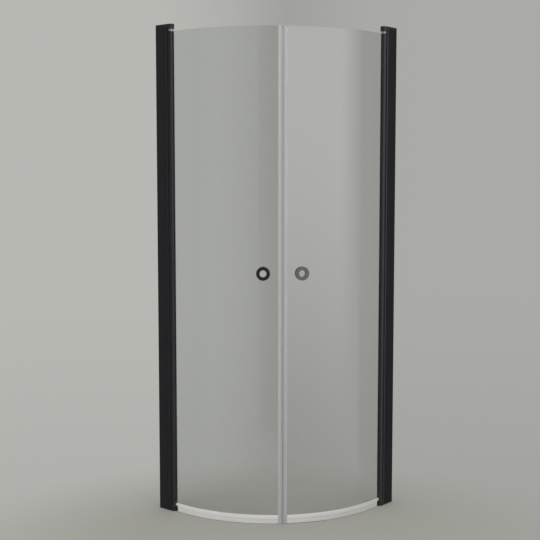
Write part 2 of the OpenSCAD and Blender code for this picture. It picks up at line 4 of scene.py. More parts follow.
import bmesh
import bpy
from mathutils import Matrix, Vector


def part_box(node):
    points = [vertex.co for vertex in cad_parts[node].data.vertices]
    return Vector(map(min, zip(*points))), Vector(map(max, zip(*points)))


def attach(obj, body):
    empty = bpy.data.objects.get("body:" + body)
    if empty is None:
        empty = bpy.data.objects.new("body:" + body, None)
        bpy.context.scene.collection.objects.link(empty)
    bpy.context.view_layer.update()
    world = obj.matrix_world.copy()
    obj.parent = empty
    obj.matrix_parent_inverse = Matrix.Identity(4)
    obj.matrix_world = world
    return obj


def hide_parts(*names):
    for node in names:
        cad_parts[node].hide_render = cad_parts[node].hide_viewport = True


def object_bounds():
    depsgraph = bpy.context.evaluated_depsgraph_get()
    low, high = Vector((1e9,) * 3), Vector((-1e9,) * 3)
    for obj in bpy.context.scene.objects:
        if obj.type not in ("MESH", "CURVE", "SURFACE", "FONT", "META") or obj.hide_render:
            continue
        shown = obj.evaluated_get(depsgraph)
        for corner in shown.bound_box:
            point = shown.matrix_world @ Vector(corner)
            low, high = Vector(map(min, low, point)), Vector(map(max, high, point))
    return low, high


mm = 0.001
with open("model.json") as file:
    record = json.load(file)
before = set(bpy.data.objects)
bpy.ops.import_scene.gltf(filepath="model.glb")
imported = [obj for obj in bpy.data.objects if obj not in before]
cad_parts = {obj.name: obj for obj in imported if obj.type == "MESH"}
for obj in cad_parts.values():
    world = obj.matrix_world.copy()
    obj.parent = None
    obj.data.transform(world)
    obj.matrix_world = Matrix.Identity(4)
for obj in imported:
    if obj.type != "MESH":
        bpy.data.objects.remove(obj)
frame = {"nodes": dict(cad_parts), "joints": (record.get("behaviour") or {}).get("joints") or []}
cadLow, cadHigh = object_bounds()
nodes = frame["nodes"]
joints = {joint["name"]: joint for joint in frame["joints"]}
sides = ("left", "right")
print("stage 1: packed model loaded,", len(nodes), "nodes")


# Camera, as the photograph was taken
photoCamera = {
    "place": (2.808, -3.356, 1.386),
    "tiltDeg": 84.98,  # 90 looks level
    "turnDeg": 40.31,
    "lensMm": 70.18,
    "sensorMm": 36.0,
}


def makeCamera():
    data = bpy.data.cameras.new("photoCamera")
    data.lens = photoCamera["lensMm"]
    data.sensor_width = data.sensor_height = photoCamera["sensorMm"]
    camera = bpy.data.objects.new("photoCamera", data)
    bpy.context.scene.collection.objects.link(camera)
    camera.location = photoCamera["place"]
    camera.rotation_euler = (
        math.radians(photoCamera["tiltDeg"]), 0, math.radians(photoCamera["turnDeg"]))
    bpy.context.scene.camera = camera


makeCamera()
bpy.context.scene.view_settings.view_transform = "Standard"


# Small helpers for materials
def toLinear(hexColour):
    channels = [int(hexColour[i:i + 2], 16) / 255 for i in (1, 3, 5)]
    return [c / 12.92 if c <= 0.04045 else ((c + 0.055) / 1.055) ** 2.4 for c in channels] + [1.0]


def shade(colour, factor):
    return [min(1.0, channel * factor) for channel in colour[:3]] + [1.0]


def addNode(owner, kind, settings=None, links=None):
    node = owner.node_tree.nodes.new(kind)
    for name, value in (settings or {}).items():
        setattr(node, name, value)
    for name, value in (links or {}).items():
        if isinstance(value, bpy.types.NodeSocket):
            owner.node_tree.links.new(value, node.inputs[name])
        else:
            node.inputs[name].default_value = value
    return node


def newMaterial(name):
    material = bpy.data.materials.new(name)
    material.use_nodes = True
    material.node_tree.nodes.clear()
    return material


def finishMaterial(material, shader):
    addNode(material, "ShaderNodeOutputMaterial", links={"Surface": shader.outputs[0]})
    return material


# Black anodised aluminium: dull dark metal whose drawn lines run along the profile and
# stretch each highlight into a soft upright streak
anodised = {
    "colour": "#424245",
    "streakColour": "#4c4c4f",
    "edgeTint": 0.3,  # the dyed skin keeps grazing reflections dark
    "roughness": 0.5,
    "roughnessSpread": 0.07,
    "drawLineMm": 0.9,  # real lines are about 0.1 mm, drawn coarser so that they show
    "drawLineLengthMm": 900,
    "cloudMm": 160,  # slow change of tone along a length, from the dye bath
    "cloudShare": 0.5,  # of the pattern, the lines have the rest
    "lineDepthMm": 0.004,
}


def anodisedAluminium():
    material = newMaterial("BlackAnodisedAluminium")
    place = addNode(material, "ShaderNodeTexCoord").outputs["Object"]
    across = 1 / (anodised["drawLineMm"] * mm)
    along = 1 / (anodised["drawLineLengthMm"] * mm)
    stretched = addNode(material, "ShaderNodeMapping", links={
        "Vector": place, "Scale": (across, across, along)})
    lines = addNode(material, "ShaderNodeTexNoise", links={
        "Vector": stretched.outputs[0], "Scale": 1.0, "Detail": 3.0, "Roughness": 0.6})
    clouds = addNode(material, "ShaderNodeTexNoise", links={
        "Vector": place, "Scale": 1 / (anodised["cloudMm"] * mm), "Detail": 2.0})
    cloudTone = addNode(material, "ShaderNodeMath", {"operation": "MULTIPLY"}, {
        0: clouds.outputs[0], 1: anodised["cloudShare"]})
    mixed = addNode(material, "ShaderNodeMath", {"operation": "MULTIPLY_ADD"}, {
        0: lines.outputs[0], 1: 1 - anodised["cloudShare"], 2: cloudTone.outputs[0]})
    colour = addNode(material, "ShaderNodeMix", {"data_type": "RGBA"}, {
        "Factor": mixed.outputs[0], 6: toLinear(anodised["colour"]),
        7: toLinear(anodised["streakColour"])})
    rough = addNode(material, "ShaderNodeMapRange", links={
        "Value": mixed.outputs[0],
        "To Min": anodised["roughness"] - anodised["roughnessSpread"],
        "To Max": anodised["roughness"] + anodised["roughnessSpread"]})
    bump = addNode(material, "ShaderNodeBump", links={
        "Height": lines.outputs[0], "Distance": anodised["lineDepthMm"] * mm, "Strength": 1.0})
    shader = addNode(material, "ShaderNodeBsdfPrincipled", links={
        "Base Color": colour.outputs[2], "Metallic": 1.0, "Roughness": rough.outputs[0],
        "Specular Tint": [anodised["edgeTint"]] * 3 + [1.0], "Normal": bump.outputs[0]})
    return finishMaterial(material, shader)


# Black coats on castings: powder on the zinc caps is a matt film with a faint orange peel, and
# vapour-deposited black on the brass knobs keeps a metal's sheen, so a knob turns grey in the light
blackCoats = {
    "BlackPowderCoatZinc": {
        "colour": "#121213", "metallic": 0.0, "roughness": 0.5, "peelMm": 1.6, "peelDepthMm": 0.012},
    "BlackSatinBrass": {
        "colour": "#59595b", "metallic": 1.0, "roughness": 0.18, "peelMm": 2.4, "peelDepthMm": 0.004},
}
coatGrain = {
    "sizeMm": 0.35,
    "paler": 1.3,
    "roughnessSpread": 0.05,
}


def blackCoat(name):
    look = blackCoats[name]
    material = newMaterial(name)
    place = addNode(material, "ShaderNodeTexCoord").outputs["Object"]
    peel = addNode(material, "ShaderNodeTexNoise", links={
        "Vector": place, "Scale": 1 / (look["peelMm"] * mm), "Detail": 1.0})
    grain = addNode(material, "ShaderNodeTexNoise", links={
        "Vector": place, "Scale": 1 / (coatGrain["sizeMm"] * mm), "Detail": 2.0})
    base = toLinear(look["colour"])
    colour = addNode(material, "ShaderNodeMix", {"data_type": "RGBA"}, {
        "Factor": grain.outputs[0], 6: base, 7: shade(base, coatGrain["paler"])})
    rough = addNode(material, "ShaderNodeMapRange", links={
        "Value": grain.outputs[0],
        "To Min": look["roughness"] - coatGrain["roughnessSpread"],
        "To Max": look["roughness"] + coatGrain["roughnessSpread"]})
    bump = addNode(material, "ShaderNodeBump", links={
        "Height": peel.outputs[0], "Distance": look["peelDepthMm"] * mm, "Strength": 1.0})
    shader = addNode(material, "ShaderNodeBsdfPrincipled", links={
        "Base Color": colour.outputs[2], "Metallic": look["metallic"], "Roughness": rough.outputs[0],
        "Normal": bump.outputs[0]})
    return finishMaterial(material, shader)


# Stainless steel, turned or ground: bright neutral metal with fine rings round its axis
stainless = {
    "turnedColour": "#b4b4b3",
    "groundColour": "#b6b6b5",
    "turnedRoughness": 0.3,
    "groundRoughness": 0.6,
    "roughnessShare": 0.25,  # how far the roughness strays to each side
    "ringMm": 0.4,
    "acrossShare": 0.05,  # slower change across the axis than along it makes the rings
    "ringDepthMm": 0.003,
}


def stainlessSteel(name, colourKey, roughnessKey):
    material = newMaterial(name)
    place = addNode(material, "ShaderNodeTexCoord").outputs["Object"]
    fine = 1 / (stainless["ringMm"] * mm)
    flat = addNode(material, "ShaderNodeMapping", links={
        "Vector": place, "Scale": (fine * stainless["acrossShare"], fine * stainless["acrossShare"], fine)})
    rings = addNode(material, "ShaderNodeTexNoise", links={
        "Vector": flat.outputs[0], "Scale": 1.0, "Detail": 2.0})
    rough = addNode(material, "ShaderNodeMapRange", links={
        "Value": rings.outputs[0],
        "To Min": stainless[roughnessKey] * (1 - stainless["roughnessShare"]),
        "To Max": stainless[roughnessKey] * (1 + stainless["roughnessShare"])})
    bump = addNode(material, "ShaderNodeBump", links={
        "Height": rings.outputs[0], "Distance": stainless["ringDepthMm"] * mm, "Strength": 1.0})
    shader = addNode(material, "ShaderNodeBsdfPrincipled", links={
        "Base Color": toLinear(stainless[colourKey]), "Metallic": 1.0, "Roughness": rough.outputs[0],
        "Normal": bump.outputs[0]})
    return finishMaterial(material, shader)


# Plastics and rubbers: each is a moulded or extruded polymer with its own tone, gloss and grain
polymers = {
    "AcetalNatural": {  # turned and moulded bearing plastic, waxy off-white
        "colour": "#dad9d2", "ior": 1.48, "roughness": 0.42, "grainMm": 0.8, "tone": 0.93, "scatter": 0.25,
        "depthMm": 0.006},
    "AcetalGrey": {  # thrust ring, seen as a thin line under the tube
        "colour": "#5f5f60", "ior": 1.48, "roughness": 0.45, "grainMm": 0.8, "tone": 0.9, "scatter": 0.0,
        "depthMm": 0.006},
    "NylonMatteBlack": {  # spark-eroded mould, matt black
        "colour": "#1d1d1e", "ior": 1.53, "roughness": 0.58, "grainMm": 0.35, "tone": 1.4, "scatter": 0.0,
        "depthMm": 0.02},
    "RubberExtrudedBlack": {  # glazing gasket, smooth from its die
        "colour": "#1b1b1c", "ior": 1.52, "roughness": 0.5, "grainMm": 0.9, "tone": 1.3, "scatter": 0.0,
        "depthMm": 0.01},
    "RubberMatteBlack": {  # soft washer, dull and dusty
        "colour": "#19191a", "ior": 1.52, "roughness": 0.8, "grainMm": 0.6, "tone": 1.5, "scatter": 0.0,
        "depthMm": 0.02},
    "FerriteRubber": {  # magnet strip, dark grey and slightly speckled
        "colour": "#4a4a49", "ior": 1.52, "roughness": 0.62, "grainMm": 0.3, "tone": 1.3, "scatter": 0.0,
        "depthMm": 0.01},
}
polymerGrain = {
    "roughnessSpread": 0.05,
    "scatterDepth": 0.002,
    "scatterReach": (1.0, 0.9, 0.8),  # red light goes deepest, blue least deep
}


def polymer(name):
    look = polymers[name]
    material = newMaterial(name)
    place = addNode(material, "ShaderNodeTexCoord").outputs["Object"]
    grain = addNode(material, "ShaderNodeTexNoise", links={
        "Vector": place, "Scale": 1 / (look["grainMm"] * mm), "Detail": 3.0})
    base = toLinear(look["colour"])
    colour = addNode(material, "ShaderNodeMix", {"data_type": "RGBA"}, {
        "Factor": grain.outputs[0], 6: base, 7: shade(base, look["tone"])})
    rough = addNode(material, "ShaderNodeMapRange", links={
        "Value": grain.outputs[0],
        "To Min": look["roughness"] - polymerGrain["roughnessSpread"],
        "To Max": look["roughness"] + polymerGrain["roughnessSpread"]})
    bump = addNode(material, "ShaderNodeBump", links={
        "Height": grain.outputs[0], "Distance": look["depthMm"] * mm, "Strength": 1.0})
    shader = addNode(material, "ShaderNodeBsdfPrincipled", links={
        "Base Color": colour.outputs[2], "Metallic": 0.0, "Roughness": rough.outputs[0],
        "IOR": look["ior"], "Subsurface Weight": look["scatter"],
        "Subsurface Radius": polymerGrain["scatterReach"],
        "Subsurface Scale": polymerGrain["scatterDepth"], "Normal": bump.outputs[0]})
    return finishMaterial(material, shader)


# Extruded vinyl: the closing seals are half clear, so the dark magnet strip shows as a grey line
# in their noses, and the floor seals are a denser milky white with a slight warm cast that is painted
# light bounced from the floor. Both have lines from the die.
vinyls = {
    "HalfClearVinyl": {"colour": "#c4c4c5", "cloudColour": "#bbbbbc", "clear": 0.35, "scatter": 0.4},
    "MilkyVinyl": {"colour": "#d5d3d1", "cloudColour": "#cccac8", "clear": 0.15, "scatter": 0.6},
}
grooveShade = {  # painted shade along the groove in the middle of a floor seal
    "colour": "#c0beba",
    "centreMm": 18.7,
    "halfMm": 1.5,
}
magnetShowing = {
    "colour": "#b0b0b1",
    "fullWithinMm": 5.2,  # from the seam between the doors
    "goneBeyondMm": 8.2,
}
vinylGrain = {
    "ior": 1.53,
    "specular": 0.3,
    "roughness": 0.35,
    "cloudMm": 14,
    "dieLineMm": 1.2,  # real die lines are about 0.2 mm, drawn coarser so that they show
    "dieLineDepthMm": 0.008,
    "scatterDepth": 0.003,
    "scatterReach": (1.0, 1.0, 0.95),
}


def vinyl(name, withMagnet=False, withGrooveShade=False):
    look = vinyls[name]
    material = newMaterial(name)
    place = addNode(material, "ShaderNodeTexCoord").outputs["Object"]
    cloud = addNode(material, "ShaderNodeTexNoise", links={
        "Vector": place, "Scale": 1 / (vinylGrain["cloudMm"] * mm), "Detail": 2.0})
    dieLines = addNode(material, "ShaderNodeTexNoise", links={
        "Vector": place, "Scale": 1 / (vinylGrain["dieLineMm"] * mm), "Detail": 2.0})
    colour = addNode(material, "ShaderNodeMix", {"data_type": "RGBA"}, {
        "Factor": cloud.outputs[0], 6: toLinear(look["colour"]), 7: toLinear(look["cloudColour"])})
    bump = addNode(material, "ShaderNodeBump", links={
        "Height": dieLines.outputs[0], "Distance": vinylGrain["dieLineDepthMm"] * mm, "Strength": 1.0})
    if withMagnet:  # the seam between the closed doors is the upright plane where x = -y
        offSeam = addNode(material, "ShaderNodeVectorMath", {"operation": "DOT_PRODUCT"}, {
            0: place, 1: (math.sqrt(0.5), math.sqrt(0.5), 0)})
        distance = addNode(material, "ShaderNodeMath", {"operation": "ABSOLUTE"}, {
            0: offSeam.outputs["Value"]})
        near = addNode(material, "ShaderNodeMapRange", {"interpolation_type": "SMOOTHSTEP"}, {
            "Value": distance.outputs[0], "From Min": magnetShowing["fullWithinMm"] * mm,
            "From Max": magnetShowing["goneBeyondMm"] * mm, "To Min": 1.0, "To Max": 0.0})
        colour = addNode(material, "ShaderNodeMix", {"data_type": "RGBA"}, {
            "Factor": near.outputs[0], 6: colour.outputs[2], 7: toLinear(magnetShowing["colour"])})
    # painted shade: the floor seal's groove is coloured darker
    if withGrooveShade:
        height = addNode(material, "ShaderNodeSeparateXYZ", links={0: place}).outputs["Z"]
        inGroove = addNode(material, "ShaderNodeMath", {"operation": "COMPARE"}, {
            0: height, 1: grooveShade["centreMm"] * mm, 2: grooveShade["halfMm"] * mm})
        colour = addNode(material, "ShaderNodeMix", {"data_type": "RGBA"}, {
            "Factor": inGroove.outputs[0], 6: colour.outputs[2], 7: toLinear(grooveShade["colour"])})
    shader = addNode(material, "ShaderNodeBsdfPrincipled", links={
        "Base Color": colour.outputs[2], "Metallic": 0.0, "Roughness": vinylGrain["roughness"],
        "IOR": vinylGrain["ior"], "Specular IOR Level": vinylGrain["specular"],
        "Transmission Weight": look["clear"],
        "Subsurface Weight": look["scatter"], "Subsurface Radius": vinylGrain["scatterReach"],
        "Subsurface Scale": vinylGrain["scatterDepth"], "Normal": bump.outputs[0]})
    return finishMaterial(material, shader)


# Toughened float glass: clear, slightly grey, with the slow waver of the furnace rollers and an
# easy-clean coat that strengthens the reflections
floatGlass = {
    "tint": "#eeefef",
    "ior": 1.52,
    "coat": 1.0,
    "roughness": 0.0,
    "waverMm": 260,
    "acrossShare": 0.5,  # the waver is twice as long across the pane
    "waverDepthMm": 0.04,
}


def toughenedGlass():
    material = newMaterial("ToughenedFloatGlass")
    place = addNode(material, "ShaderNodeTexCoord").outputs["Object"]
    upright = 1 / (floatGlass["waverMm"] * mm)
    rolled = addNode(material, "ShaderNodeMapping", links={
        "Vector": place,
        "Scale": (upright * floatGlass["acrossShare"], upright * floatGlass["acrossShare"], upright)})
    waver = addNode(material, "ShaderNodeTexNoise", links={
        "Vector": rolled.outputs[0], "Scale": 1.0, "Detail": 1.0})
    bump = addNode(material, "ShaderNodeBump", links={
        "Height": waver.outputs[0], "Distance": floatGlass["waverDepthMm"] * mm, "Strength": 1.0})
    glass = addNode(material, "ShaderNodeBsdfPrincipled", links={
        "Base Color": toLinear(floatGlass["tint"]), "Metallic": 0.0,
        "Roughness": floatGlass["roughness"], "IOR": floatGlass["ior"],
        "Transmission Weight": 1.0, "Coat Weight": floatGlass["coat"],
        "Coat Roughness": 0.0, "Normal": bump.outputs[0], "Coat Normal": bump.outputs[0]})
    oneFace = [math.sqrt(channel) for channel in toLinear(floatGlass["tint"])]  # light crosses two
    through = addNode(material, "ShaderNodeBsdfTransparent", links={"Color": oneFace})
    path = addNode(material, "ShaderNodeLightPath")
    straight = addNode(material, "ShaderNodeMath", {"operation": "MAXIMUM"}, {  # lamplight isn't bent
        0: path.outputs["Is Shadow Ray"], 1: path.outputs["Is Diffuse Ray"]})
    mixed = addNode(material, "ShaderNodeMixShader", links={
        0: straight.outputs[0], 1: glass.outputs[0], 2: through.outputs[0]})
    return finishMaterial(material, mixed)


# Its polished edges: the wheels leave a fine satin there, which draws a soft grey-green line
polishedEdge = {
    "colour": "#c3ccc8",
    "roughness": 0.4,
    "clear": 0.5,
    "darker": 0.85,
    "gritMm": 0.4,  # real grit is about 0.1 mm, drawn coarser so that it shows
    "gritDepthMm": 0.01,
}


def satinEdge():
    material = newMaterial("PolishedGlassEdge")
    place = addNode(material, "ShaderNodeTexCoord").outputs["Object"]
    grit = addNode(material, "ShaderNodeTexNoise", links={
        "Vector": place, "Scale": 1 / (polishedEdge["gritMm"] * mm), "Detail": 2.0})
    base = toLinear(polishedEdge["colour"])
    colour = addNode(material, "ShaderNodeMix", {"data_type": "RGBA"}, {
        "Factor": grit.outputs[0], 6: base, 7: shade(base, polishedEdge["darker"])})
    bump = addNode(material, "ShaderNodeBump", links={
        "Height": grit.outputs[0], "Distance": polishedEdge["gritDepthMm"] * mm, "Strength": 1.0})
    shader = addNode(material, "ShaderNodeBsdfPrincipled", links={
        "Base Color": colour.outputs[2], "Metallic": 0.0, "Roughness": polishedEdge["roughness"],
        "IOR": floatGlass["ior"], "Transmission Weight": polishedEdge["clear"],
        "Normal": bump.outputs[0]})
    return finishMaterial(material, shader)


materialOf = {
    "black_profile": anodisedAluminium(),
    "black_cap": blackCoat("BlackPowderCoatZinc"),
    "black_knob": blackCoat("BlackSatinBrass"),
    "black_plastic": polymer("NylonMatteBlack"),
    "screw_steel": stainlessSteel("StainlessSteelTurned", "turnedColour", "turnedRoughness"),
    "spindle_steel": stainlessSteel("StainlessSteelGround", "groundColour", "groundRoughness"),
    "bearing_plastic": polymer("AcetalNatural"),
    "clear_glass": toughenedGlass(),
    "grey_plastic": polymer("AcetalGrey"),
    "black_gasket": polymer("RubberExtrudedBlack"),
    # the floor seals carry painted shade in their middle groove
    "milky_seal": vinyl("MilkyVinyl", withGrooveShade=True),
    "magnet_rubber": polymer("FerriteRubber"),
    "black_rubber": polymer("RubberMatteBlack"),
}
halfClear = vinyl("HalfClearVinyl", withMagnet=True)
edgeGlass = satinEdge()
print("stage 2:", len(materialOf) + 2, "materials made")


# Where a door runs: straight from the hinge, then round an arc to the seam on the room's diagonal.
# A place on it is the distance from the hinge axis, how far out of the enclosure, and the height.
doorPlan = {
    "straight": 63 * mm,
    "glassThickness": 6 * mm,
    "glassToSeam": 8.2 * mm,
    "stepAlong": 6 * mm,  # length of the facets round the bend
}
hinge = Vector(joints["left_swing"]["pos_m"])
roomCorner = Vector((cadLow.x, cadHigh.y, 0))
hingeReach = hinge.x - roomCorner.x
arcCentre = hingeReach + doorPlan["straight"]  # as far from both walls
arcRadius = roomCorner.y - hinge.y - arcCentre
doorLength = doorPlan["straight"] + arcRadius * math.pi / 4


def doorPoint(side, along, out, up):
    if along <= doorPlan["straight"]:
        x, y = hingeReach + along, -arcCentre - arcRadius - out
    else:
        turn = (along - doorPlan["straight"]) / arcRadius
        x = arcCentre + (arcRadius + out) * math.sin(turn)
        y = -arcCentre - (arcRadius + out) * math.cos(turn)
    if side == "right":  # the mirror image in the room's diagonal
        x, y = -y, -x
    return Vector((roomCorner.x + x, roomCorner.y + y, up))


stepSlack = 0.001  # share of a step, so that a stretch of whole steps gets none too many


def spread(start, stop, step):
    count = max(1, math.ceil((stop - start) / step - stepSlack))
    return [start + (stop - start) * i / count for i in range(count + 1)]


def doorStops(start, stop):  # distances along a door at which a swept piece has a ring
    bend = doorPlan["straight"]
    if start >= bend:
        return spread(start, stop, doorPlan["stepAlong"])
    return spread(start, bend, bend) + spread(bend, stop, doorPlan["stepAlong"])[1:]


def smoothMesh(shape, name):
    bmesh.ops.recalc_face_normals(shape, faces=shape.faces)
    for face in shape.faces:
        face.smooth = True
    mesh = bpy.data.meshes.new(name)
    shape.to_mesh(mesh)
    shape.free()
    return mesh


def finishPiece(name, mesh, node, slot, material=None):
    piece = bpy.data.objects.new(name, mesh)
    bpy.context.scene.collection.objects.link(piece)
    mesh.materials.append(material or materialOf[slot])
    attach(piece, node.split("_")[0] + "_door")
    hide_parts(node)
    return piece


# A small round on each edge, which catches a thin line of light
easing = {
    "segments": 2,
    "turnDeg": 35,  # an edge that turns less than this stays as it is
    "weldWithin": 0.002 * mm,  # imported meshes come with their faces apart
}


def roundEdges(piece, width, weld=False):
    if weld:
        piece.modifiers.new("weld", "WELD").merge_threshold = easing["weldWithin"]
    bevel = piece.modifiers.new("roundEdges", "BEVEL")
    bevel.width = width
    bevel.segments = easing["segments"]
    bevel.limit_method = "ANGLE"
    bevel.angle_limit = math.radians(easing["turnDeg"])
    bevel.harden_normals = True
    if weld:  # long thin faces beside a screw hole would show as streaks
        piece.modifiers.new("evenNormals", "WEIGHTED_NORMAL").keep_sharp = True


# Glass: one bent pane, notched at its hinge edge, with the knob's hole and polished edges
pane = {
    "inset": 2 * mm,  # from the hinge axis
    "notchReach": 14.8 * mm,
    "tapeReach": 16.0 * mm,  # up to here the edge has black tape, behind the gasket's lips
    "plugGap": 2 * mm,  # between the notch and the plugs in the tube
    "easedEdge": 0.7 * mm,
    "sleeveGap": 0.05 * mm,  # around the knob's sleeve
    "blockHalf": 30 * mm,  # half of the square of mesh that holds the hole
    "blockCells": 10,  # along each side of that square
    "rings": 3,  # of faces, from the square in to the hole
    "rowStep": 90 * mm,
}


def knobHole(side):  # its distance along the door, height and radius, from the sleeve that fills it
    low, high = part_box(side + "_knob_sleeve")
    x, y = (low.x + high.x) / 2 - roomCorner.x, (low.y + high.y) / 2 - roomCorner.y
    if side == "right":
        x, y = -y, -x
    along = doorPlan["straight"] + arcRadius * math.atan2(x - arcCentre, -y - arcCentre)
    return along, (low.z + high.z) / 2, (high.z - low.z) / 2 + pane["sleeveGap"]


def paneStops(side):
    low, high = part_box(side + "_glass")
    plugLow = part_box(side + "_lower_plug")[1].z + pane["plugGap"]
    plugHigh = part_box(side + "_upper_plug")[0].z - pane["plugGap"]
    holeAlong, holeUp, _ = knobHole(side)
    half, cells = pane["blockHalf"], pane["blockCells"]
    blockAlong = [holeAlong + half * (2 * i / cells - 1) for i in range(cells + 1)]
    blockUp = [holeUp + half * (2 * i / cells - 1) for i in range(cells + 1)]
    columns = [pane["inset"], pane["notchReach"]]
    columns += doorStops(pane["tapeReach"], blockAlong[0])[:-1] + blockAlong
    columns += doorStops(blockAlong[-1], doorLength - doorPlan["glassToSeam"])[1:]
    rows = [low.z, plugLow] + spread(plugLow, blockUp[0], pane["rowStep"])[1:-1] + blockUp
    rows += spread(blockUp[-1], plugHigh, pane["rowStep"])[1:] + [high.z]
    return columns, rows, plugLow, plugHigh


def turnQuarter(point, times):
    x, y = point
    for _ in range(times):
        x, y = -y, x
    return x, y


def makePane(side):
    columns, rows, plugLow, plugHigh = paneStops(side)
    holeAlong, holeUp, holeRadius = knobHole(side)
    half, cells = pane["blockHalf"], pane["blockCells"]
    shape = bmesh.new()
    grid = {}

    def corner(along, up):  # one that was made before, to a tenth of a micrometre, is used again
        key = (round(along, 7), round(up, 7))
        if key not in grid:
            grid[key] = shape.verts.new(doorPoint(side, along, 0, up))
        return grid[key]

    def inBlock(along, up):
        return abs(along - holeAlong) < half and abs(up - holeUp) < half

    for a, b in zip(columns, columns[1:]):
        for c, d in zip(rows, rows[1:]):
            along, up = (a + b) / 2, (c + d) / 2
            notched = along < pane["notchReach"] and not plugLow < up < plugHigh
            if not notched and not inBlock(along, up):
                cell = shape.faces.new([corner(a, c), corner(b, c), corner(b, d), corner(a, d)])
                cell.material_index = 2 if along < pane["tapeReach"] else 0  # 2 has the taped rim
    step = 2 * half / cells
    edge = [(i * step - half, -half) for i in range(cells)]
    square = [turnQuarter(point, k) for k in range(4) for point in edge]
    rings = []
    for r in range(pane["rings"] + 1):
        share = r / pane["rings"]
        ring = []
        for x, y in square:
            reach = holeRadius / math.hypot(x, y)
            sx, sy = x * (1 - share + share * reach), y * (1 - share + share * reach)
            ring.append(corner(holeAlong + sx, holeUp + sy))
        rings.append(ring)
    for outer, inner in zip(rings, rings[1:]):
        for i in range(len(outer)):
            j = (i + 1) % len(outer)
            shape.faces.new([outer[i], outer[j], inner[j], inner[i]])
    mesh = smoothMesh(shape, side + "Pane")
    piece = finishPiece(side + "_pane", mesh, side + "_glass", "clear_glass")
    thick = piece.modifiers.new("thickness", "SOLIDIFY")
    thick.thickness = doorPlan["glassThickness"]
    thick.offset = 0
    for finish in (edgeGlass, materialOf["clear_glass"], materialOf["black_rubber"]):
        mesh.materials.append(finish)
    thick.material_offset_rim = 1  # a face's rim takes the finish after its own
    roundEdges(piece, pane["easedEdge"])


for side in sides:
    makePane(side)
print("stage 3: glass made")


# Seals: sections in millimetres, each corner with its rounding, swept along a door or up its edge
sealMesh = {
    "arcSteps": 4,  # facets of a rounded corner
    "sharpDeg": 38,  # an edge that turns more than this stays crisp
}


def roundCorners(corners):
    steps = sealMesh["arcSteps"]
    points = []
    for i, (x, y, radius) in enumerate(corners):
        if radius == 0:
            points.append((x, y))
            continue
        here = Vector((x, y))
        back = (Vector(corners[i - 1][:2]) - here).normalized()
        ahead = (Vector(corners[(i + 1) % len(corners)][:2]) - here).normalized()
        half = back.angle(ahead) / 2
        centre = here + (back + ahead).normalized() * radius / math.sin(half)
        first = here + back * radius / math.tan(half) - centre
        last = here + ahead * radius / math.tan(half) - centre
        for k in range(steps + 1):
            arm = first.lerp(last, k / steps).normalized() * radius
            points.append((centre.x + arm.x, centre.y + arm.y))
    return points


def withMirror(corners, axis):  # adds the other half of a section that is alike on both sides
    flip = (lambda c: (-c[0], c[1], c[2])) if axis == 0 else (lambda c: (c[0], -c[1], c[2]))
    return corners + [flip(c) for c in reversed(corners)]


def sweepSection(shape, loops, place, stops):
    ends = []
    for loop in loops:
        rings = [[shape.verts.new(place(x * mm, y * mm, stop)) for x, y in loop] for stop in stops]
        for a, b in zip(rings, rings[1:]):
            for i in range(len(loop)):
                j = (i + 1) % len(loop)
                shape.faces.new([a[i], a[j], b[j], b[i]])
        ends.append((rings[0], rings[-1]))
    for k in (0, 1):  # closes the first end, then the last
        border = [
            shape.edges.get((end[k][i - 1], end[k][i])) for end in ends for i in range(len(end[k]))]
        bmesh.ops.triangle_fill(shape, use_beauty=True, edges=border)


def finishSeal(shape, name, node, material):
    mesh = smoothMesh(shape, name)
    mesh.set_sharp_from_angle(angle=math.radians(sealMesh["sharpDeg"]))
    return finishPiece(name, mesh, node, "milky_seal", material)


edgeSeal = {  # section across the free edge: first number from the seam, second out from the glass
    "outline": [
        (0.25, 5.55, 1.6), (7.5, 5.55, 0.7), (7.5, 4.55, 0.0), (15.2, 4.55, 3.0), (17.5, 3.75, 0.3),
        (17.5, 3.05, 0.3), (8.15, 3.05, 0.3)],
    "magnetPocket": [(1.05, 3.75, 0.0), (6.3, 3.75, 0.0)],
    "rowStep": 200 * mm,
}


def makeEdgeSeal(side):
    low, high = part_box(side + "_edge_seal")
    shape = bmesh.new()
    loops = [roundCorners(withMirror(edgeSeal[key], 1)) for key in ("outline", "magnetPocket")]
    sweepSection(shape, loops, lambda x, y, up: doorPoint(side, doorLength - x, y, up),
                 spread(low.z, high.z, edgeSeal["rowStep"]))
    return finishSeal(shape, side + "_closing_seal", side + "_edge_seal", halfClear)


dripSeal = {  # section across the lower edge: first number out from the glass, second up
    "outline": [
        (0.75, 1.0, 0.4), (0.75, 10.45, 0.5), (3.85, 10.45, 0.4), (3.6, 1.0, 0.5), (5.1, 1.0, 0.7),
        (5.7, 17.6, 0.8), (4.55, 18.7, 0.3), (4.55, 19.4, 0.3), (6.0, 20.2, 0.7), (5.95, 21.4, 1.0),
        (4.6, 33.5, 2.0), (3.7, 35.0, 0.5), (3.05, 35.0, 0.2), (3.05, 11.95, 0.4)],
    "ear": [(3.05, 24.5, 0.0), (4.55, 24.5, 0.3), (4.55, 35.0, 0.3), (3.05, 35.0, 0.0)],
    "start": 27.0 * mm,  # from the hinge axis, well clear of the lower block
    "earStart": 14.3 * mm,
    "endFromSeam": 17.6 * mm,
}


def makeDripSeal(side):
    shape = bmesh.new()

    def place(x, y, along):
        return doorPoint(side, along, x, y)

    sweepSection(shape, [roundCorners(withMirror(dripSeal["outline"], 0))], place,
                 doorStops(dripSeal["start"], doorLength - dripSeal["endFromSeam"]))
    for flip in (1, -1):
        ear = [(flip * x, y) for x, y in roundCorners(dripSeal["ear"])]
        sweepSection(shape, [ear], place, [dripSeal["earStart"], dripSeal["start"]])
    return finishSeal(shape, side + "_floor_seal", side + "_drip_seal", materialOf["milky_seal"])


for side in sides:
    makeEdgeSeal(side)
    makeDripSeal(side)
print("stage 4: seals made")


